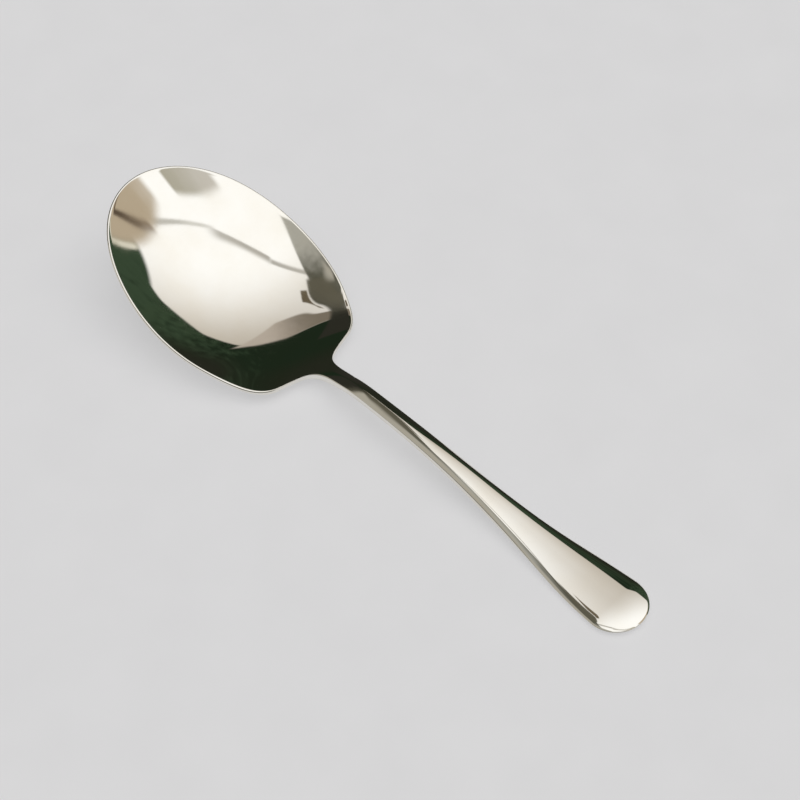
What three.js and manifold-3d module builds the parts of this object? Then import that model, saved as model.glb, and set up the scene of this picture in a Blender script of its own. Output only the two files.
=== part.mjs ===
// Rice serving spoon: a broad shallow bowl with squared shoulders, on a slim stem that rises from
// the heel, arches over and flares to a round end. The real one is struck from a single blank, so
// its outline is the blank's plan, and its heights are those of the die that dishes and bends it.
// Millimetres, +Z up, +X from the bowl's tip towards the handle's end, lying on z = 0.

import * as THREE from 'three';
import { mergeVertices } from 'three/addons/utils/BufferGeometryUtils.js';
import Module from 'manifold-3d';

// Plan of the blank. Reaches run along the spoon from the neck, the slimmest place of the stem.
const BOWL_LENGTH = 103.5;         // neck to the bowl's tip
const BOWL_WIDTH = 65.2;
const BOWL_WIDEST_REACH = 56.8;    // neck to the widest place
const HEEL_REACH = 14.9;           // neck to the notch where the heel turns out from the stem
const HEEL_SLANT = 4;              // how much further from the neck the shoulder lies than the notch
const SHOULDER_INSET = 11.5;       // the shoulder's corner, in from the widest place on each side
const SHOULDER_START = 0.73;       // share of the heel edge that the shoulder's rounding leaves free
const SHOULDER_ROUNDING = 7.4;     // length of side that the shoulder's rounding takes up
const SIDE_ANGLE = THREE.MathUtils.degToRad(28.8);  // slant of the side where it leaves the shoulder
const SIDE_HOLD = 0.64;            // share of the way to full width that the side keeps that slant
const STEM_WIDTH = 6.3;
const HANDLE_LENGTH = 121.5;       // neck to the handle's end
const STEM_HOLD = 81;              // how strongly the stem keeps its width before it flares
const FLARE_HOLD = 27.6;           // how strongly the flare keeps its angle before the round end
const FLARE_ANGLE = THREE.MathUtils.degToRad(3.2);
const END_RADIUS = 10.4;

// Side view of the upper face along the middle line.
const TIP_HEIGHT = 28.2;
const TIP_RISE = 0.633;            // slope of the bowl's middle line at the tip
const TIP_BEND_RADIUS = 150;
const BELLY_REACH = 33.5;          // neck to the bowl's lowest place
const BELLY_BEND_RADIUS = 112;
const CREST_REACH = 10.2;          // neck to the stem's highest place
const CREST_HEIGHT = 10.6;
const END_LIFT_LENGTH = 17.5;      // stretch of the handle's end that turns up from where it rests
const END_BEND_RADIUS = 222;

// Metal thickness, and how the faces curve across the spoon.
const BOWL_WALL = 1.7;
const STEM_THICKNESS = 4;
const END_THICKNESS = 3.4;
const ROOT_REACH = 24;             // neck to where the stem's thick root runs out under the bowl
const ROOT_WIDTH = 12;
const DISH_REACH = 40;             // neck to where the bowl has its full curve from side to side
const DISH_RADIUS = 58;
const RIM_ROUNDING = 0.9;
const EDGE_LINE_SHARE = 0.4;       // height of the outermost line of the edge, as a share of the metal
const LOWER_FULLNESS = 2.5;        // of the lower edge: 2 is an ellipse, more is squarer
const RIM_FULLNESS = 2.05;         // of the bowl's upper edge
const STEM_FULLNESS = 1.5;         // of the stem's upper face, which is crowned to a soft ridge
const HANDLE_FULLNESS = 1.7;       // of the handle's upper face, past the ridge
const RIDGE_LENGTH = 25;           // neck to where the ridge starts to fade
const RIDGE_FADE = 35;             // stretch over which it runs out into the handle
const REST_FLAT_DEPTH = 0.2;       // worn flats where the belly and the handle touch the table

// Facets. A ring has inner steps from the middle line outwards and finer ones over its rounded edge.
const BOWL_RAYS = 72;
const FLARE_SECTIONS = 30;
const END_RAYS = 10;
const INNER_STEPS = 5;
const EDGE_STEPS = 3;
const LEAST_INNER_SHARE = 0.4;     // least share of a ray that the inner steps cover
const SLOPE_STEP = 0.01;           // step over which a slope is measured

const wasm = await Module();
wasm.setup();

// Rises from 0 to 1 with no slope and no bend at either end.
function smooth(value) {
  const t = THREE.MathUtils.clamp(value, 0, 1);
  return t ** 3 * (10 - 15 * t + 6 * t ** 2);
}

// Quintic between two stations, which keeps the value, slope and bend of both.
function between(x, a, b) {
  const run = b.at - a.at;
  const t = (x - a.at) / run;
  const rise = smooth(t);
  const slopes = (a.slope ?? 0) * (t - 6 * t ** 3 + 8 * t ** 4 - 3 * t ** 5)
    + (b.slope ?? 0) * (-4 * t ** 3 + 7 * t ** 4 - 3 * t ** 5);
  const bends = (a.bend ?? 0) * t ** 2 * (1 - t) ** 3 + (b.bend ?? 0) * t ** 3 * (1 - t) ** 2;
  return a.value * (1 - rise) + b.value * rise + slopes * run + bends * run ** 2 / 2;
}

// A line through stations in order of place, level before the first and after the last.
function profile(x, stations) {
  const next = stations.findIndex((station) => x < station.at);
  if (next === 0) {
    return stations[0].value;
  }
  if (next === -1) {
    return stations.at(-1).value;
  }
  return between(x, stations[next - 1], stations[next]);
}

const HANDLE_REST_REACH = HANDLE_LENGTH - END_LIFT_LENGTH;
const HANDLE_REST_HEIGHT = END_THICKNESS - REST_FLAT_DEPTH;

const UPPER_LINE = [
  { at: -BOWL_LENGTH, value: TIP_HEIGHT, slope: -TIP_RISE, bend: 1 / TIP_BEND_RADIUS },
  { at: -BELLY_REACH, value: BOWL_WALL - REST_FLAT_DEPTH, bend: 1 / BELLY_BEND_RADIUS },
  { at: CREST_REACH, value: CREST_HEIGHT },
  { at: HANDLE_REST_REACH, value: HANDLE_REST_HEIGHT, bend: 1 / END_BEND_RADIUS },
  {
    at: HANDLE_LENGTH,
    value: HANDLE_REST_HEIGHT + END_LIFT_LENGTH ** 2 / (2 * END_BEND_RADIUS),
    slope: END_LIFT_LENGTH / END_BEND_RADIUS,
    bend: 1 / END_BEND_RADIUS,
  },
];

const THICKNESS_LINE = [
  { at: -ROOT_REACH, value: BOWL_WALL },
  { at: 0, value: STEM_THICKNESS },
  { at: HANDLE_REST_REACH, value: END_THICKNESS },
];

// Heights of the upper and lower face over a place in the plan, before the edge is rounded.
// The bowl is dished across, and the stem's thick root fades out under it on both sides.
function faces(x, y) {
  const dished = smooth(-x / DISH_REACH);
  const upper = profile(x, UPPER_LINE) + dished * y ** 2 / (2 * DISH_RADIUS);
  const ahead = profile(x + SLOPE_STEP, UPPER_LINE);
  const behind = profile(x - SLOPE_STEP, UPPER_LINE);
  const slopeAlong = (ahead - behind) / (2 * SLOPE_STEP);
  const slopeAcross = dished * y / DISH_RADIUS;
  const root = 1 / (1 + (2 * y / ROOT_WIDTH) ** 4);
  const spread = THREE.MathUtils.lerp(1, root, smooth(-x / HEEL_REACH));
  const wall = THREE.MathUtils.lerp(BOWL_WALL, profile(x, THICKNESS_LINE), spread);
  return { upper, lower: upper - wall * Math.hypot(1, slopeAlong, slopeAcross) };
}

// Width of the rounded edge: half the stem at the neck and all over the handle, and a narrow
// rounding on the bowl's rim.
function roundingWidth(x) {
  if (x >= 0) {
    return Infinity;
  }
  return THREE.MathUtils.lerp(STEM_WIDTH / 2, RIM_ROUNDING, smooth(-x / HEEL_REACH));
}

// Fullness of the upper face: the stem's ridge fades into the bowl's rim and into the handle.
function upperFullness(x) {
  if (x < 0) {
    return THREE.MathUtils.lerp(STEM_FULLNESS, RIM_FULLNESS, smooth(-x / HEEL_REACH));
  }
  return THREE.MathUtils.lerp(STEM_FULLNESS, HANDLE_FULLNESS, smooth((x - RIDGE_LENGTH) / RIDGE_FADE));
}

// Height left at a place in the rounded edge, as a share of the full height from its outermost line.
function fullness(share, power) {
  return (1 - share ** power) ** (1 / power);
}

// One closed ring across the spoon, over a ray from a foot on the middle line out to the edge and
// its mirror image: upper face from the +Y edge to the -Y edge, then the lower face back.
function ring(edge, foot) {
  const reach = Math.hypot(edge.x - foot, edge.y);
  const flatShare = 1 - Math.min(reach, roundingWidth(edge.x)) / reach;
  const innerShare = Math.max(flatShare, LEAST_INNER_SHARE);
  const upperPower = upperFullness(edge.x);
  const shares = [];
  for (let step = 0; step < INNER_STEPS; step += 1) {
    shares.push(innerShare * step / INNER_STEPS);
  }
  for (let step = 0; step <= EDGE_STEPS; step += 1) {
    shares.push(innerShare + (1 - innerShare) * Math.sin(Math.PI / 2 * step / EDGE_STEPS));
  }

  // side is 1 towards +Y and -1 towards -Y, and face is 1 on the upper face and -1 on the lower.
  function point(share, side, face) {
    const x = foot + share * (edge.x - foot);
    const y = side * share * edge.y;
    const { upper, lower } = faces(x, y);
    const rounded = Math.min(1, Math.max(0, share - flatShare) / (1 - flatShare));
    const outermost = THREE.MathUtils.lerp(lower, upper, EDGE_LINE_SHARE);
    const height = face > 0
      ? THREE.MathUtils.lerp(outermost, upper, fullness(rounded, upperPower))
      : THREE.MathUtils.lerp(outermost, lower, fullness(rounded, LOWER_FULLNESS));
    return new THREE.Vector3(x, y, height);
  }

  const inwards = shares.toReversed();
  const upperFace = [
    ...inwards.map((share) => point(share, 1, 1)),
    ...shares.slice(1).map((share) => point(share, -1, 1)),
  ];
  const lowerFace = [
    ...inwards.slice(1).map((share) => point(share, -1, -1)),
    ...shares.slice(1, -1).map((share) => point(share, 1, -1)),
  ];
  return [...upperFace, ...lowerFace];
}

// Joins rings that run towards +X. A tip or end closes by itself, because there the two halves of
// the ring coincide, and a cut end gets a flat cap between its upper and lower points.
function loft(rings, capped) {
  const size = rings[0].length;
  const triangles = [];
  for (let row = 0; row + 1 < rings.length; row += 1) {
    for (let place = 0; place < size; place += 1) {
      const next = (place + 1) % size;
      const a = row * size + place;
      const b = row * size + next;
      const c = a + size;
      const d = b + size;
      triangles.push(a, b, c, b, d, c);
    }
  }
  const first = capped === 'last' ? (rings.length - 1) * size : 0;
  for (let place = 0; place < size / 2; place += 1) {
    const upper = first + place;
    const lower = first + (size - place) % size;
    const nextUpper = upper + 1;
    const nextLower = first + size - place - 1;
    const cap = [upper, nextUpper, nextLower, upper, nextLower, lower];
    triangles.push(...(capped === 'first' ? cap.toReversed() : cap));
  }
  const geometry = new THREE.BufferGeometry().setFromPoints(rings.flat());
  geometry.setIndex(triangles);
  return mergeVertices(geometry);
}

function toSolid(geometry) {
  const triVerts = [];
  const corners = geometry.index.array;
  for (let at = 0; at < corners.length; at += 3) {
    const [a, b, c] = corners.slice(at, at + 3);
    if (a !== b && b !== c && c !== a) {
      triVerts.push(a, b, c);
    }
  }
  return new wasm.Manifold(new wasm.Mesh({
    numProp: 3,
    vertProperties: Float32Array.from(geometry.attributes.position.array),
    triVerts: Uint32Array.from(triVerts),
  }));
}

// Cuts off what lies under the table's surface, which leaves the worn flats.
function wearFlat(geometry) {
  const length = 2 * (BOWL_LENGTH + HANDLE_LENGTH);
  const depth = TIP_HEIGHT;
  const table = new THREE.BoxGeometry(length, 2 * BOWL_WIDTH, depth).translate(0, 0, -depth / 2);
  table.deleteAttribute('normal');
  table.deleteAttribute('uv');
  const worn = toSolid(geometry).subtract(toSolid(mergeVertices(table))).getMesh();
  const result = new THREE.BufferGeometry();
  result.setAttribute('position', new THREE.BufferAttribute(worn.vertProperties, worn.numProp));
  result.setIndex(new THREE.BufferAttribute(worn.triVerts, 1));
  return result;
}

// Half outline of the bowl from the neck to the tip: a scoop into the notch and out along the
// heel, the shoulder's rounded corner, the side, and a quarter of an ellipse round the tip. The
// side meets the ellipse with the same curvature.
function bowlEdge() {
  const sideY = BOWL_WIDTH / 2;
  const stemY = STEM_WIDTH / 2;
  const tipReach = BOWL_LENGTH - BOWL_WIDEST_REACH;
  const neck = new THREE.Vector2(0, stemY);
  const notch = new THREE.Vector2(-HEEL_REACH, stemY);
  const shoulder = new THREE.Vector2(-HEEL_REACH - HEEL_SLANT, sideY - SHOULDER_INSET);
  const heel = notch.clone().lerp(shoulder, SHOULDER_START);
  const slant = new THREE.Vector2(-Math.cos(SIDE_ANGLE), Math.sin(SIDE_ANGLE));
  const side = shoulder.clone().addScaledVector(slant, SHOULDER_ROUNDING);
  const heldLength = SIDE_HOLD * (sideY - side.y) / slant.y;
  const held = side.clone().addScaledVector(slant, heldLength);
  const widest = new THREE.Vector2(-BOWL_WIDEST_REACH, sideY);
  const widestHold = tipReach * Math.sqrt(2 / 3 * (sideY - held.y) / sideY);
  const towardsWidest = new THREE.Vector2(widest.x + widestHold, sideY);
  const edge = new THREE.CurvePath();
  edge.add(new THREE.CubicBezierCurve(neck, notch, notch, heel));
  edge.add(new THREE.QuadraticBezierCurve(heel, shoulder, side));
  edge.add(new THREE.CubicBezierCurve(side, held, towardsWidest, widest));
  edge.add(new THREE.EllipseCurve(widest.x, 0, tipReach, sideY, Math.PI / 2, Math.PI));
  return edge;
}

// Rings of the bowl from the tip to the neck. Their feet start square to the stem, spread along
// the middle line behind the shoulders, and follow the ellipse's own normals round the tip.
function bowlRings() {
  const edge = bowlEdge();
  const [toWidest, toTip] = edge.getCurveLengths().slice(-2);
  const tipReach = BOWL_LENGTH - BOWL_WIDEST_REACH;
  const tipSpread = Math.max(0, 1 - (BOWL_WIDTH / 2 / tipReach) ** 2);
  const points = edge.getSpacedPoints(BOWL_RAYS);
  points.at(-1).y = 0;
  const rings = points.map((place, index) => {
    const arc = toTip * index / BOWL_RAYS;
    const past = -place.x - BOWL_WIDEST_REACH;
    if (arc > toWidest) {
      return ring(place, -BOWL_WIDEST_REACH - tipSpread * past);
    }
    const spread = -BOWL_WIDEST_REACH * arc / toWidest;
    return ring(place, THREE.MathUtils.lerp(place.x, spread, smooth(arc / HEEL_REACH)));
  });
  return rings.reverse();
}

// Rings of the handle from the neck: square sections along the flare, and rays round the end.
function handleRings() {
  const centre = HANDLE_LENGTH - END_RADIUS;
  const along = new THREE.Vector2(Math.cos(FLARE_ANGLE), Math.sin(FLARE_ANGLE));
  const touch = new THREE.Vector2(centre - END_RADIUS * along.y, END_RADIUS * along.x);
  const flare = new THREE.CubicBezierCurve(
    new THREE.Vector2(0, STEM_WIDTH / 2),
    new THREE.Vector2(STEM_HOLD, STEM_WIDTH / 2),
    touch.clone().addScaledVector(along, -FLARE_HOLD),
    touch,
  );
  const start = Math.PI / 2 + FLARE_ANGLE;
  const end = new THREE.EllipseCurve(centre, 0, END_RADIUS, END_RADIUS, start, 0, true);
  const round = end.getPoints(END_RAYS).slice(1);
  round.at(-1).y = 0;
  const places = [...flare.getSpacedPoints(FLARE_SECTIONS), ...round];
  return places.map((place) => ring(place, Math.min(place.x, centre)));
}

function piece(name, geometry) {
  const silver = new THREE.MeshStandardMaterial({ color: 0xd8d4ca, roughness: 0.12, metalness: 1 });
  const mesh = new THREE.Mesh(geometry, silver);
  mesh.name = name;
  return mesh;
}

const spoon = new THREE.Group();
spoon.add(piece('bowl', wearFlat(loft(bowlRings(), 'last'))));
spoon.add(piece('handle', wearFlat(loft(handleRings(), 'first'))));
spoon.position.x = (BOWL_LENGTH - HANDLE_LENGTH) / 2;

export default spoon;
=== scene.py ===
# Rice serving spoon in polished silver plate, lying on a pale floor under soft studio light.
# Metres, +Z up, +X from the bowl's tip to the handle's end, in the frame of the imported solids.

import math

import bmesh
import bpy
import numpy as np
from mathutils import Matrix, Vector


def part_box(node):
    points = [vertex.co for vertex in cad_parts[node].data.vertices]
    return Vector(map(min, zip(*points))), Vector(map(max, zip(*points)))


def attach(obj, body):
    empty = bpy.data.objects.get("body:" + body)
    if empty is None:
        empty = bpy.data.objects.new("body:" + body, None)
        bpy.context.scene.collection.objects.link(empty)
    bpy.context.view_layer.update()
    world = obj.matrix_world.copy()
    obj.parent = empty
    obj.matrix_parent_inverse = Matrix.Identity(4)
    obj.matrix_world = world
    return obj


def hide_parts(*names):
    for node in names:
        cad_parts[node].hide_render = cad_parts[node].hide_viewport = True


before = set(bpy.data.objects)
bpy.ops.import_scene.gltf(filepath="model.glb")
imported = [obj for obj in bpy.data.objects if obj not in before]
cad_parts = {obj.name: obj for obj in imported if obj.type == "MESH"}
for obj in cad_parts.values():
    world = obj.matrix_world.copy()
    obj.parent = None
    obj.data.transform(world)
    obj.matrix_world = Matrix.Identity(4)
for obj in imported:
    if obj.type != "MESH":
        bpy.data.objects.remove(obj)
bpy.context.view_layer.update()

# Spoon: one blank of nickel silver, cut to its plan, struck in dies that dish the bowl and arch the
# stem, then trimmed, silver plated and polished on a mop. It has no joint or seam, so one surface
# stands for both solids. Heights are over the floor, and reaches run from the neck.
MM = 0.001
bowl_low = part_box("bowl")[0]
handle_low, handle_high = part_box("handle")
NECK_X = handle_low.x
BOWL_LENGTH = NECK_X - bowl_low.x
HANDLE_LENGTH = handle_high.x - NECK_X
HALF_BOWL = 32.6 * MM
HALF_STEM = 3.15 * MM
WIDEST_REACH = 56.8 * MM
HEEL_REACH = 14.9 * MM
HEEL_SLANT = 4 * MM
SHOULDER_INSET = 11.5 * MM
SHOULDER_START = 0.73
SHOULDER_ROUNDING = 7.4 * MM
SIDE_ANGLE = math.radians(28.8)
SIDE_HOLD = 0.64
STEM_HOLD = 81 * MM
FLARE_HOLD = 27.6 * MM
FLARE_ANGLE = math.radians(3.2)
END_RADIUS = 10.4 * MM

TIP_HEIGHT = 28.2 * MM
TIP_RISE = 0.633
TIP_BEND = 1 / (150 * MM)
BELLY_REACH = 33.5 * MM
BELLY_BEND = 1 / (112 * MM)
CREST_REACH = 10.2 * MM
CREST_HEIGHT = 10.6 * MM
END_LIFT_LENGTH = 17.5 * MM
END_BEND = 1 / (222 * MM)
BOWL_WALL = 1.7 * MM
STEM_THICKNESS = 4 * MM
END_THICKNESS = 3.4 * MM
ROOT_REACH = 24 * MM
ROOT_WIDTH = 12 * MM
DISH_REACH = 40 * MM
DISH_RADIUS = 58 * MM
RIM_ROUNDING = 0.9 * MM
EDGE_LINE_SHARE = 0.4
EDGE_ROUNDING = 0.5 * MM
UPPER_FULLNESS = 2.05
LOWER_FULLNESS = 2.5
NECK_CROWN = 1.28 * MM
WAIST_CROWN = 1.5 * MM
END_CROWN = 1.9 * MM
NECK_POWER = 1.25
RIDGE_REACH = 13 * MM
RIDGE_POWER = 1.12
WAIST_REACH = 58 * MM
WAIST_POWER = 2.4
WEAR_DEPTH = 0.2 * MM
WEAR_SOFTNESS = 0.03 * MM

# Hand finishing on the mop leaves shallow waves in the polish, as long and as high as this.
WAVE_LENGTHS = np.array([19, 13, 27]) * MM
WAVE_BEARINGS = np.radians([20, 75, -50])
WAVE_HEIGHT = 0.004 * MM

BOWL_ROWS = 250
HANDLE_ROWS = 200
INNER_COLUMNS = 32
EDGE_COLUMNS = 14
LEAST_INNER_SHARE = 0.4
CURVE_STEPS = 2000
SLOPE_STEP = 0.01 * MM
SEWING_REACH = 0.0005 * MM


def rise(share):
    """Goes from 0 to 1 with no slope and no bend at either end: t cubed times (10 - 15 t + 6 t squared)."""
    t = np.clip(share, 0, 1)
    return t**3 * (10 - 15 * t + 6 * t**2)


def through(x, stations):
    """Line through stations of place, height, slope and bend, level outside them.
    Between two stations it is the quintic that keeps the height, slope and bend of both."""
    height = np.where(x < stations[0][0], stations[0][1], stations[-1][1])
    for (x0, h0, s0, b0), (x1, h1, s1, b1) in zip(stations, stations[1:]):
        run = x1 - x0
        t = np.clip((x - x0) / run, 0, 1)
        slopes = s0 * (t - 6 * t**3 + 8 * t**4 - 3 * t**5) + s1 * (-4 * t**3 + 7 * t**4 - 3 * t**5)
        bends = (b0 * t**2 * (1 - t) ** 3 + b1 * t**3 * (1 - t) ** 2) / 2
        quintic = h0 + (h1 - h0) * rise(t) + slopes * run + bends * run**2
        height = np.where((x >= x0) & (x <= x1), quintic, height)
    return height


def bezier(*points):
    """Points of a Bezier curve: its control points weighted by the terms of (1 - t + t) to their degree."""
    t = np.linspace(0, 1, CURVE_STEPS)[:, None]
    degree = len(points) - 1
    weights = (math.comb(degree, i) * (1 - t) ** (degree - i) * t**i for i in range(degree + 1))
    return sum(weight * np.array(point) for weight, point in zip(weights, points))


def arc(centre, radii, start, end):
    """Points of an ellipse's arc: the centre plus the radii times cosine and sine of a turning angle."""
    turn = np.linspace(start, end, CURVE_STEPS)[:, None]
    return np.array(centre) + np.array(radii) * np.hstack([np.cos(turn), np.sin(turn)])


def evenly(curves, count):
    """Places at even steps along curves joined end to end, and how far along each one lies."""
    line = np.vstack(curves)
    run = np.append(0, np.cumsum(np.hypot(*np.diff(line, axis=0).T)))
    along = np.linspace(0, run[-1], count)
    return np.interp(along, run, line[:, 0]), np.interp(along, run, line[:, 1]), along


def bowl_rays():
    """Half outline of the bowl from tip to neck, with the foot on the middle line of each ray to it.
    The outline is a scoop into the notch and out along the heel, the shoulder's rounded corner, the
    side, and a quarter ellipse round the tip, which the side meets with the same curvature. Feet
    start square to the stem, spread along the middle line behind the shoulder, and follow the
    ellipse's normals round the tip."""
    tip_reach = BOWL_LENGTH - WIDEST_REACH
    neck = np.array([0, HALF_STEM])
    notch = np.array([-HEEL_REACH, HALF_STEM])
    shoulder = np.array([-HEEL_REACH - HEEL_SLANT, HALF_BOWL - SHOULDER_INSET])
    heel = notch + SHOULDER_START * (shoulder - notch)
    slant = np.array([-math.cos(SIDE_ANGLE), math.sin(SIDE_ANGLE)])
    side = shoulder + SHOULDER_ROUNDING * slant
    held = side + slant * SIDE_HOLD * (HALF_BOWL - side[1]) / slant[1]
    widest = np.array([-WIDEST_REACH, HALF_BOWL])
    widest_hold = tip_reach * math.sqrt(2 / 3 * (HALF_BOWL - held[1]) / HALF_BOWL)
    to_widest = (
        bezier(neck, notch, notch, heel),
        bezier(heel, shoulder, side),
        bezier(side, held, widest + [widest_hold, 0], widest),
    )
    tip = arc([-WIDEST_REACH, 0], [tip_reach, HALF_BOWL], math.pi / 2, math.pi)
    x, y, along = evenly([*to_widest, tip], BOWL_ROWS)
    length_to_widest = evenly(to_widest, 2)[2][-1]
    tip_spread = 1 - (HALF_BOWL / tip_reach) ** 2
    behind = x + (-WIDEST_REACH * along / length_to_widest - x) * rise(along / HEEL_REACH)
    ahead = -WIDEST_REACH + tip_spread * (x + WIDEST_REACH)
    foot = np.where(along > length_to_widest, ahead, behind)
    return x[::-1], y[::-1], foot[::-1]


def handle_rays():
    """Half outline of the handle from neck to end: a flaring Bezier and an arc, with feet square to
    the middle line along the flare and at the arc's centre round the end."""
    centre = HANDLE_LENGTH - END_RADIUS
    along = np.array([math.cos(FLARE_ANGLE), math.sin(FLARE_ANGLE)])
    touch = np.array([centre - END_RADIUS * along[1], END_RADIUS * along[0]])
    flare = bezier([0, HALF_STEM], [STEM_HOLD, HALF_STEM], touch - FLARE_HOLD * along, touch)
    end = arc([centre, 0], [END_RADIUS, END_RADIUS], math.pi / 2 + FLARE_ANGLE, 0)
    x, y, _ = evenly([flare, end], HANDLE_ROWS)
    return x, y, np.minimum(x, centre)


def faces(x, y):
    """Heights of the upper and lower face. The upper one is the middle line's height, plus in the
    bowl y squared over twice the dish's radius, plus the polish's waves, a sum of sines. The lower
    one lies a wall's thickness below it, square to the slope, and the stem's thick root fades out
    under the bowl as 1 / (1 + y to the 4th)."""
    rest_reach = HANDLE_LENGTH - END_LIFT_LENGTH
    rest_height = END_THICKNESS - WEAR_DEPTH
    end_height = rest_height + END_LIFT_LENGTH**2 * END_BEND / 2
    upper_line = (
        (-BOWL_LENGTH, TIP_HEIGHT, -TIP_RISE, TIP_BEND),
        (-BELLY_REACH, BOWL_WALL - WEAR_DEPTH, 0, BELLY_BEND),
        (CREST_REACH, CREST_HEIGHT, 0, 0),
        (rest_reach, rest_height, 0, END_BEND),
        (HANDLE_LENGTH, end_height, END_LIFT_LENGTH * END_BEND, END_BEND),
    )
    thickness_line = (
        (-ROOT_REACH, BOWL_WALL, 0, 0),
        (0, STEM_THICKNESS, 0, 0),
        (rest_reach, END_THICKNESS, 0, 0),
    )
    dished = rise(-x / DISH_REACH)
    waves = sum(
        np.sin(2 * math.pi * (x * math.cos(bearing) + y * math.sin(bearing)) / length)
        for length, bearing in zip(WAVE_LENGTHS, WAVE_BEARINGS)
    )
    upper = through(x, upper_line) + dished * (y**2 / (2 * DISH_RADIUS) + WAVE_HEIGHT * waves)
    step = through(x + SLOPE_STEP, upper_line) - through(x - SLOPE_STEP, upper_line)
    slope_along = step / (2 * SLOPE_STEP)
    slope_across = dished * y / DISH_RADIUS
    root = 1 + rise(-x / HEEL_REACH) * (1 / (1 + (2 * y / ROOT_WIDTH) ** 4) - 1)
    wall = BOWL_WALL + root * (through(x, thickness_line) - BOWL_WALL)
    return upper, upper - wall * np.sqrt(1 + slope_along**2 + slope_across**2)


def spoon_surface():
    """Grid of points, rows from tip to end and columns round the metal, and how near each is to the rim.
    A row lies over a ray from its foot to the outline and its mirror image, first over the upper
    face from +Y to -Y, then back under. The handle's upper face falls to its edge by the crown times
    the share of the ray to a power, near 1 on the stem, which gives it a ridge. The edge is rounded
    as two superellipses that meet on its outermost line, the lower one over the handle's whole half
    width."""
    bowl, handle = bowl_rays(), handle_rays()
    edge_x, edge_y, foot = (np.append(b, h[1:])[:, None] for b, h in zip(bowl, handle))
    edge_y[[0, -1]] = 0
    reach = np.hypot(edge_x - foot, edge_y)
    upper_rounding = through(edge_x, ((-HEEL_REACH, RIM_ROUNDING, 0, 0), (0, EDGE_ROUNDING, 0, 0)))
    narrow = HALF_STEM + (RIM_ROUNDING - HALF_STEM) * rise(-edge_x / HEEL_REACH)
    lower_rounding = np.where(edge_x < 0, np.minimum(narrow, reach), reach)
    inner_share = np.maximum(1 - upper_rounding / reach, LEAST_INNER_SHARE)
    inner = inner_share * np.linspace(0, 1, INNER_COLUMNS, endpoint=False)
    edge = inner_share + (1 - inner_share) * np.sin(np.linspace(0, math.pi / 2, EDGE_COLUMNS))
    half_row = np.hstack([inner, edge])
    upper_row = np.hstack([half_row[:, ::-1], -half_row[:, 1:]])
    share = np.hstack([upper_row, upper_row[:, -2:0:-1]])
    on_top = np.arange(share.shape[1]) < upper_row.shape[1]

    x = foot + np.abs(share) * (edge_x - foot)
    y = share * edge_y
    upper, lower = faces(x, y)
    crown_line = (
        (-HEEL_REACH, 0, 0, 0),
        (0, NECK_CROWN, 0, 0),
        (WAIST_REACH, WAIST_CROWN, 0, 0),
        (HANDLE_LENGTH - END_LIFT_LENGTH, END_CROWN, 0, 0),
    )
    power_line = (
        (0, NECK_POWER, 0, 0),
        (RIDGE_REACH, RIDGE_POWER, 0, 0),
        (WAIST_REACH, WAIST_POWER, 0, 0),
    )
    crowned = upper - through(edge_x, crown_line) * np.abs(share) ** through(edge_x, power_line)
    rounding = np.where(on_top, upper_rounding, lower_rounding)
    rounded = np.clip(1 - (1 - np.abs(share)) * reach / rounding, 0, 1)
    power = np.where(on_top, UPPER_FULLNESS, LOWER_FULLNESS)
    outermost = lower + EDGE_LINE_SHARE * (upper - lower)
    z = outermost + (np.where(on_top, crowned, lower) - outermost) * (1 - rounded**power) ** (1 / power)
    worn = (z + np.hypot(z, WEAR_SOFTNESS)) / 2
    return np.dstack([x + NECK_X, y, worn]), rounded


def grid_mesh(name, points, rim):
    """Mesh of a grid whose columns close on themselves, with the rows that shrink to a line sewn shut."""
    rows, columns = points.shape[:2]
    corner = np.arange(rows * columns).reshape(rows, columns)
    right_of = np.roll(corner, -1, axis=1)
    quads = np.dstack([corner[:-1], right_of[:-1], right_of[1:], corner[1:]]).reshape(-1, 4)
    mesh = bpy.data.meshes.new(name)
    mesh.from_pydata(points.reshape(-1, 3), [], quads)
    mesh.attributes.new("rim", "FLOAT", "POINT").data.foreach_set("value", rim.ravel())
    sewn = bmesh.new()
    sewn.from_mesh(mesh)
    bmesh.ops.remove_doubles(sewn, verts=sewn.verts, dist=SEWING_REACH)
    sewn.to_mesh(mesh)
    sewn.free()
    mesh.shade_smooth()
    return mesh


def linear(hex_colour):
    """Linear red, green, blue and alpha of an sRGB hex colour."""
    srgb = np.array([int(hex_colour[i : i + 2], 16) for i in (1, 3, 5)]) / 255
    low, high = srgb / 12.92, ((srgb + 0.055) / 1.055) ** 2.4
    return *np.where(srgb < 0.04045, low, high), 1.0


def node(tree, kind, inputs=None, **settings):
    """Adds a node, with its settings, and fills each input with a value or another node's output."""
    made = tree.nodes.new(kind)
    for name, value in settings.items():
        setattr(made, name, value)
    for socket, value in (inputs or {}).items():
        if isinstance(value, bpy.types.NodeSocket):
            tree.links.new(value, made.inputs[socket])
        else:
            made.inputs[socket].default_value = value
    return made


# Silver plate polished on a mop: a slightly warm mirror. Use and wiping have clouded it a little, left
# hairlines along it, which make sharp edges in it look faintly brushed, and dulled the rubbed rim.
SILVER, TARNISH = "#F0EEE8", "#DCCDAE"
TARNISH_MOST = 0.18
CLOUD_SIZE = 16 * MM
CLOUD_DETAIL = 4
CLEAR_BELOW, CLOUDED_ABOVE = 0.35, 0.7
CLEAR_ROUGHNESS, CLOUDED_ROUGHNESS = 0.02, 0.06
RIM_ROUGHNESS = 0.1
RIM_NARROWNESS = 4
HAIRLINE_LENGTH = 45 * MM
HAIRLINE_DEPTH = 0.0006 * MM
HAIRLINE_DETAIL = 2
# Real hairlines lie some hundredths of a millimetre apart, too fine to show, so these are coarser.
HAIRLINE_SPACING = 0.5 * MM

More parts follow.
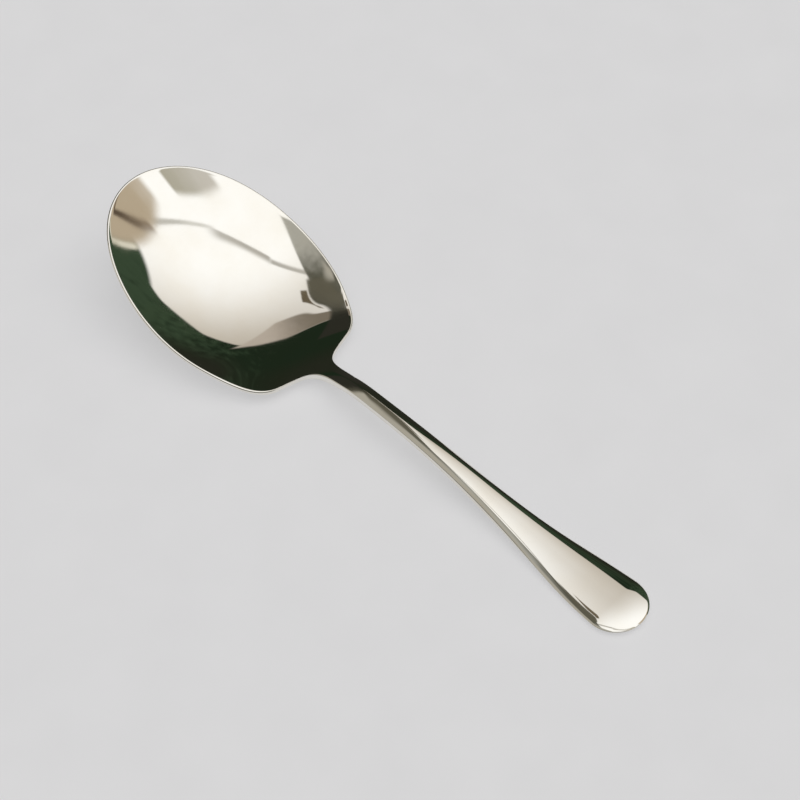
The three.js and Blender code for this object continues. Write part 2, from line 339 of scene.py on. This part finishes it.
silver = bpy.data.materials.new("mop_polished_silver_plate")
silver.use_nodes = True
silver_tree = silver.node_tree
silver_shader = silver_tree.nodes["Principled BSDF"]
silver_shader.inputs["Metallic"].default_value = 1.0
on_spoon = node(silver_tree, "ShaderNodeTexCoord").outputs["Object"]
cloud_noise = {"Vector": on_spoon, "Scale": 1 / CLOUD_SIZE, "Detail": CLOUD_DETAIL}
clouds = node(silver_tree, "ShaderNodeTexNoise", cloud_noise).outputs["Fac"]
cloudy = {"Value": clouds, "From Min": CLEAR_BELOW, "From Max": CLOUDED_ABOVE}
dulling = {**cloudy, "To Min": CLEAR_ROUGHNESS, "To Max": CLOUDED_ROUGHNESS}
haze = node(silver_tree, "ShaderNodeMapRange", dulling).outputs[0]
rubbed = node(silver_tree, "ShaderNodeAttribute", attribute_name="rim").outputs["Fac"]
rubbed_haze = {0: rubbed, 1: RIM_ROUGHNESS, 2: haze}
roughness = node(silver_tree, "ShaderNodeMath", rubbed_haze, operation="MULTIPLY_ADD").outputs[0]
tarnished = node(silver_tree, "ShaderNodeMapRange", {**cloudy, "To Max": TARNISH_MOST}).outputs[0]
# A Mix node that blends colours takes them at inputs 6 and 7 and gives the blend at output 2.
tint = {0: tarnished, 6: linear(SILVER), 7: linear(TARNISH)}
silver_colour = node(silver_tree, "ShaderNodeMix", tint, data_type="RGBA").outputs[2]
closeness = (1 / HAIRLINE_LENGTH, 1 / HAIRLINE_SPACING, 1 / HAIRLINE_SPACING)
drawn_out = node(silver_tree, "ShaderNodeMapping", {"Vector": on_spoon, "Scale": closeness}).outputs[0]
hairline_noise = {"Vector": drawn_out, "Scale": 1.0, "Detail": HAIRLINE_DETAIL}
hairlines = node(silver_tree, "ShaderNodeTexNoise", hairline_noise).outputs["Fac"]
relief = node(silver_tree, "ShaderNodeBump", {"Height": hairlines, "Distance": HAIRLINE_DEPTH}).outputs[0]
silver_tree.links.new(silver_colour, silver_shader.inputs["Base Color"])
silver_tree.links.new(roughness, silver_shader.inputs["Roughness"])
silver_tree.links.new(relief, silver_shader.inputs["Normal"])

points, rounded = spoon_surface()
spoon = bpy.data.objects.new("spoon", grid_mesh("spoon", points, rounded**RIM_NARROWNESS))
spoon.data.materials.append(silver)
bpy.context.scene.collection.objects.link(spoon)
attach(spoon, "root")
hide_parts("bowl", "handle")

# Floor: a plain pale sheet of matt paper on a light table, wide enough to fill every view down to low
# angles. Light from below makes shadows on it faint, and its pulp settled in patches that hardly show.
FLOOR_SIZE = 30.0
FLOOR_LIGHT, FLOOR_DARK = "#E9E9EB", "#E3E3E5"
PATCH_SIZE = 25 * MM
PATCH_DETAIL = 5
PAPER_ROUGHNESS = 0.9
PAPER_GLOSS = 0.1
GLOW_SHARE = 0.6
GLOW_LEVEL = 0.89
corners = np.array([[-1, -1, 0], [1, -1, 0], [1, 1, 0], [-1, 1, 0]]) * FLOOR_SIZE / 2
floor_mesh = bpy.data.meshes.new("floor")
floor_mesh.from_pydata(corners, [], [[0, 1, 2, 3]])
floor = bpy.data.objects.new("floor", floor_mesh)
paper = bpy.data.materials.new("matt_pale_paper")
paper.use_nodes = True
paper_tree = paper.node_tree
paper_shader = paper_tree.nodes["Principled BSDF"]
paper_shader.inputs["Roughness"].default_value = PAPER_ROUGHNESS
paper_shader.inputs["Specular IOR Level"].default_value = PAPER_GLOSS
on_floor = node(paper_tree, "ShaderNodeTexCoord").outputs["Object"]
pulp_noise = {"Vector": on_floor, "Scale": 1 / PATCH_SIZE, "Detail": PATCH_DETAIL}
pulp = node(paper_tree, "ShaderNodeTexNoise", pulp_noise).outputs["Fac"]
mottled = {0: pulp, 6: linear(FLOOR_LIGHT), 7: linear(FLOOR_DARK)}
paper_colour = node(paper_tree, "ShaderNodeMix", mottled, data_type="RGBA").outputs[2]
paper_tree.links.new(paper_colour, paper_shader.inputs["Base Color"])
glow = node(paper_tree, "ShaderNodeEmission", {"Color": paper_colour, "Strength": GLOW_LEVEL}).outputs[0]
lit_both_ways = {0: GLOW_SHARE, 1: paper_shader.outputs[0], 2: glow}
lit = node(paper_tree, "ShaderNodeMixShader", lit_both_ways).outputs[0]
paper_tree.links.new(lit, paper_tree.nodes["Material Output"].inputs["Surface"])
floor_mesh.materials.append(paper)
bpy.context.scene.collection.objects.link(floor)

# Camera: a long lens from the handle's near side, looking steeply down. Right, far and back are its own
# directions, and the studio is hung by the first two.
AZIMUTH = math.radians(44.06)
ELEVATION = math.radians(53.0)
DISTANCE = 647.5 * MM
LENS = 90
AIM_RIGHT = 15.4 * MM
right = np.array([math.cos(AZIMUTH), math.sin(AZIMUTH), 0])
far = np.array([-math.sin(AZIMUTH), math.cos(AZIMUTH), 0])
back = np.array([0, 0, math.sin(ELEVATION)]) - far * math.cos(ELEVATION)
camera_data = bpy.data.cameras.new("camera")
camera_data.lens = LENS
camera = bpy.data.objects.new("camera", camera_data)
camera.location = np.array([NECK_X, 0, 0]) + right * AIM_RIGHT + back * DISTANCE
camera.rotation_euler = math.pi / 2 - ELEVATION, 0, AZIMUTH
bpy.context.scene.collection.objects.link(camera)
bpy.context.scene.camera = camera

# Studio light: a broad white panel overhead, creamy towards a dark green flag on its far side, with a
# hoop, a screen and smaller cards hung round it, all out of view and seen only in the polish. They are
# of painted card and dyed cloth, and each hangs in front of those that are laid before it.
SURROUND = "#D3D4D6"

# Cards lie on a chart of the dome, in degrees from straight up, to the camera's right and far side. An
# edge is straight, at a reach along a direction, or round, at a reach from a centre, and has a blur.
ALONG, ROUND = "DOT_PRODUCT", "DISTANCE"
CHART_RIGHT, CHART_LEFT = (1, 0, 0), (-1, 0, 0)
CHART_FAR, CHART_NEAR = (0, 1, 0), (0, -1, 0)
ZENITH = (0, 0, 0)
NO_MOTTLE = 0
MOTTLE_SIZE = 3
MOTTLE_DETAIL = 4

FLAG = dict(
    start=linear("#1E291D"),
    end=linear("#3A4A38"),
    towards=CHART_RIGHT,
    span=(5, 50),
    mottle=80,
    edges=((ALONG, CHART_FAR, 12, 4),),
)
BLACK_SKIRT = dict(
    start=linear("#25281F"),
    end=linear("#2F2E29"),
    towards=CHART_FAR,
    span=(62, 90),
    mottle=10,
    edges=((ALONG, CHART_FAR, 62, 8),),
)

# The panel has seven crisp sides and a soft one, and the brown card is cut along the first.
PANEL_LEVEL = 1.16
PANEL_BLUR = 0.6
PANEL_FIRST_SIDE = (ALONG, (0.589, -0.808, 0), -32.75, PANEL_BLUR)
PANEL = dict(
    start=np.array(linear("#FFFFFF")) * PANEL_LEVEL,
    end=linear("#C6BEB3"),
    towards=(-0.45, 0.89, 0),
    span=(-8, 42),
    mottle=NO_MOTTLE,
    edges=(
        PANEL_FIRST_SIDE,
        (ALONG, (0.34, -0.94, 0), -41, PANEL_BLUR),
        (ALONG, CHART_NEAR, -48.7, PANEL_BLUR),
        (ALONG, (-0.28, -0.96, 0), -54.4, PANEL_BLUR),
        (ALONG, (-0.507, -0.862, 0), -55.8, PANEL_BLUR),
        (ALONG, (-0.87, -0.5, 0), -56, PANEL_BLUR),
        (ALONG, CHART_LEFT, -43, PANEL_BLUR),
        (ALONG, CHART_FAR, -34, 6),
    ),
)

# The hoop, its tail to the right and its rod to the left make one thin line across the panel.
HOOP_CENTRE = (8.5, 18, 0)
TAIL_CENTRE = (-18.6, 46, 0)
ROD_ACROSS = (0.321, 0.947, 0)
HOOP_END = -4
HOOP = dict(
    start=linear("#CDCBC6"),
    end=linear("#BDBAB4"),
    towards=CHART_LEFT,
    span=(-22, -4),
    mottle=NO_MOTTLE,
    edges=(
        (ROUND, HOOP_CENTRE, 26.2, 1.4),
        (ROUND, HOOP_CENTRE, 28.6, -0.4),
        (ALONG, CHART_FAR, 9, -2),
        (ALONG, CHART_RIGHT, HOOP_END, 1),
        (ALONG, CHART_RIGHT, 18, -3),
    ),
)
HOOP_TAIL = dict(
    start=linear("#DDDCD7"),
    end=linear("#C4C2BC"),
    towards=CHART_RIGHT,
    span=(22, 32),
    mottle=NO_MOTTLE,
    edges=(
        (ROUND, TAIL_CENTRE, 65.7, 0.2),
        (ROUND, TAIL_CENTRE, 66.3, -0.2),
        (ALONG, CHART_RIGHT, 18, 3),
        (ALONG, CHART_RIGHT, 37, -2),
    ),
)
HOOP_ROD = dict(
    start=linear("#BDBAB4"),
    end=linear("#BDBAB4"),
    towards=CHART_LEFT,
    span=(0, 20),
    mottle=NO_MOTTLE,
    edges=(
        (ALONG, ROD_ACROSS, -7.9, 0.8),
        (ALONG, ROD_ACROSS, -6, -0.5),
        (ALONG, CHART_RIGHT, HOOP_END, -1),
    ),
)

# Screens and a card to the left, with a dark return behind the first screen, and a skirt on the near side.
OLIVE_SCREEN = dict(
    start=linear("#B2B1AA"),
    end=linear("#56554A"),
    towards=(0.196, 0.981, 0),
    span=(-18, 0),
    mottle=11,
    edges=((ALONG, (-0.933, -0.359, 0), 19.4, 0.5), (ROUND, ZENITH, 50, -5)),
)
BROWN_CARD = dict(
    start=linear("#BDB3A9"),
    end=linear("#7D7467"),
    towards=CHART_LEFT,
    span=(-3, 19),
    mottle=4,
    edges=(
        (ALONG, (-0.555, 0.832, 0), 25.3, 0.5),
        (ALONG, (-0.78, 0.62, 0), 20, 0.5),
        PANEL_FIRST_SIDE,
        (ALONG, CHART_RIGHT, -21.5, 1),
    ),
)
SCREEN_RETURN = dict(
    start=linear("#625F53"),
    end=linear("#2E2E28"),
    towards=CHART_FAR,
    span=(6, 24),
    mottle=10,
    edges=(
        (ALONG, CHART_LEFT, 20.6, 0.4),
        (ALONG, CHART_FAR, 3, 1),
        (ALONG, CHART_NEAR, -45, 1),
        (ROUND, ZENITH, 58, -4),
    ),
)
GREY_SCREEN = dict(
    start=linear("#B2AEA4"),
    end=linear("#AEAAA0"),
    towards=CHART_FAR,
    span=(-30, 20),
    mottle=10,
    edges=((ALONG, CHART_LEFT, 29, 1.5), (ALONG, CHART_NEAR, -12, 3)),
)
NEAR_SKIRT = dict(
    start=linear("#8C8A82"),
    end=linear("#6E6B62"),
    towards=CHART_NEAR,
    span=(36, 75),
    mottle=NO_MOTTLE,
    edges=((ROUND, ZENITH, 42, 6), (ALONG, CHART_NEAR, 28, 4)),
)

# Pale cards to the right hang one behind the other along a slanting line, with a batten across them.
SLANT = (0.595, 0.803, 0)
AGAINST_SLANT = (-0.595, -0.803, 0)
ACROSS_SLANT = (0.803, -0.595, 0)
TAN_ACROSS = (0.892, -0.452, 0)
BEIGE_CARD = dict(
    start=linear("#CFCBC4"),
    end=linear("#B7B3A5"),
    towards=SLANT,
    span=(-12, 5),
    mottle=6,
    edges=(
        (ALONG, (0.635, -0.773, 0), 22.2, 0.5),
        (ALONG, AGAINST_SLANT, -6, 1),
        (ALONG, SLANT, -14, 1.5),
    ),
)
TAN_CARD = dict(
    start=linear("#D0C6B8"),
    end=linear("#BDAE98"),
    towards=SLANT,
    span=(15, 28),
    mottle=5,
    edges=((ALONG, TAN_ACROSS, 27.8, 0.6), (ALONG, SLANT, 17, 2), (ROUND, ZENITH, 60, -4)),
)
TAN_CARD_EDGE = dict(
    start=linear("#ECE8DA"),
    end=linear("#E2DDCC"),
    towards=SLANT,
    span=(46, 60),
    mottle=NO_MOTTLE,
    edges=((ALONG, TAN_ACROSS, 27.4, 0.15), (ALONG, TAN_ACROSS, 27.9, -0.15), (ALONG, SLANT, 45, 2)),
)
BROWN_BATTEN = dict(
    start=linear("#8A7A68"),
    end=linear("#5D5043"),
    towards=SLANT,
    span=(29, 42),
    mottle=NO_MOTTLE,
    edges=((ALONG, ACROSS_SLANT, 22.8, 0.3), (ALONG, ACROSS_SLANT, 23.7, -0.3), (ALONG, SLANT, 30, 1)),
)

# A small clip to the left hangs in front of everything.
DARK_CLIP = dict(
    start=linear("#6B6150"),
    end=linear("#665C4B"),
    towards=CHART_FAR,
    span=(9, 14),
    mottle=NO_MOTTLE,
    edges=(
        (ALONG, CHART_RIGHT, -17, -0.4),
        (ALONG, CHART_RIGHT, -20, 0.3),
        (ALONG, CHART_FAR, 8.5, 0.4),
        (ALONG, CHART_FAR, 14.6, -0.4),
    ),
)

world = bpy.data.worlds.new("studio")
world.use_nodes = True
bpy.context.scene.world = world
sky = world.node_tree
direction = node(sky, "ShaderNodeTexCoord").outputs["Generated"]
to_right = node(sky, "ShaderNodeVectorMath", {0: direction, 1: right}, operation=ALONG).outputs["Value"]
to_far = node(sky, "ShaderNodeVectorMath", {0: direction, 1: far}, operation=ALONG).outputs["Value"]
upward = node(sky, "ShaderNodeSeparateXYZ", {0: direction}).outputs["Z"]
from_zenith = node(sky, "ShaderNodeMath", {0: upward}, operation="ARCCOSINE").outputs[0]
degrees = node(sky, "ShaderNodeMath", {0: from_zenith}, operation="DEGREES").outputs[0]
level = node(sky, "ShaderNodeCombineXYZ", {"X": to_right, "Y": to_far}).outputs[0]
bearing = node(sky, "ShaderNodeVectorMath", {0: level}, operation="NORMALIZE").outputs[0]
chart = node(sky, "ShaderNodeVectorMath", {0: bearing, "Scale": degrees}, operation="SCALE").outputs[0]
fold_noise = {"Vector": chart, "Scale": 1 / MOTTLE_SIZE, "Detail": MOTTLE_DETAIL}
folds = node(sky, "ShaderNodeTexNoise", fold_noise).outputs["Fac"]


def lay(dome, start, end, towards, span, mottle, edges):
    """Lays a card over the dome: its colour goes smoothly from start to end over its span along a
    direction, and folds shift it by up to half the mottle, in degrees, each way. The card covers the
    dome where every edge is passed, as the product of smooth steps as wide as twice each edge's blur.
    A negative blur turns an edge round: the card lies short of it."""
    along = node(sky, "ShaderNodeVectorMath", {0: chart, 1: towards}, operation=ALONG).outputs["Value"]
    folded = {0: folds, 1: mottle, 2: along}
    shifted = node(sky, "ShaderNodeMath", folded, operation="MULTIPLY_ADD").outputs[0]
    spanned = {"Value": shifted, "From Min": span[0] + mottle / 2, "From Max": span[1] + mottle / 2}
    blend = node(sky, "ShaderNodeMapRange", spanned, interpolation_type="SMOOTHSTEP").outputs[0]
    colour = node(sky, "ShaderNodeMix", {0: blend, 6: start, 7: end}, data_type="RGBA").outputs[2]
    cover = 1.0
    for kind, origin, reach, blur in edges:
        run = node(sky, "ShaderNodeVectorMath", {0: chart, 1: origin}, operation=kind).outputs["Value"]
        step = {"Value": run, "From Min": reach - blur, "From Max": reach + blur}
        passed = node(sky, "ShaderNodeMapRange", step, interpolation_type="SMOOTHSTEP").outputs[0]
        cover = node(sky, "ShaderNodeMath", {0: cover, 1: passed}, operation="MULTIPLY").outputs[0]
    return node(sky, "ShaderNodeMix", {0: cover, 6: dome, 7: colour}, data_type="RGBA").outputs[2]


dome = linear(SURROUND)
for card in (
    FLAG,
    BLACK_SKIRT,
    PANEL,
    HOOP,
    HOOP_TAIL,
    HOOP_ROD,
    OLIVE_SCREEN,
    BROWN_CARD,
    SCREEN_RETURN,
    GREY_SCREEN,
    NEAR_SKIRT,
    BEIGE_CARD,
    TAN_CARD,
    TAN_CARD_EDGE,
    BROWN_BATTEN,
    DARK_CLIP,
):
    dome = lay(dome, **card)
sky.links.new(dome, sky.nodes["Background"].inputs["Color"])

# A soft box overhead lights the floor, and a key lamp gives the faint shadow to the left. Both stay
# out of the polish.
BOX_SIZE = 2.4
BOX_HEIGHT = 1.2
BOX_POWER = 7.8
box_data = bpy.data.lights.new("soft_box", "AREA")
box_data.shape = "DISK"
box_data.size = BOX_SIZE
box_data.energy = BOX_POWER
box = bpy.data.objects.new("soft_box", box_data)
box.location = 0, 0, BOX_HEIGHT
KEY_BEARING = math.radians(75)
KEY_ZENITH_ANGLE = math.radians(42)
KEY_SPREAD = math.radians(30)
KEY_STRENGTH = 0.15
key_across = right * math.sin(KEY_BEARING) + far * math.cos(KEY_BEARING)
key_from = key_across * math.sin(KEY_ZENITH_ANGLE) + np.array([0, 0, math.cos(KEY_ZENITH_ANGLE)])
key_data = bpy.data.lights.new("key", "SUN")
key_data.energy = KEY_STRENGTH
key_data.angle = KEY_SPREAD
key = bpy.data.objects.new("key", key_data)
key.rotation_euler = Vector(key_from).to_track_quat("Z", "Y").to_euler()
for lamp in (box, key):
    lamp.visible_glossy = False
    lamp.visible_camera = False
    bpy.context.scene.collection.objects.link(lamp)

bpy.context.scene.view_settings.view_transform = "Standard"
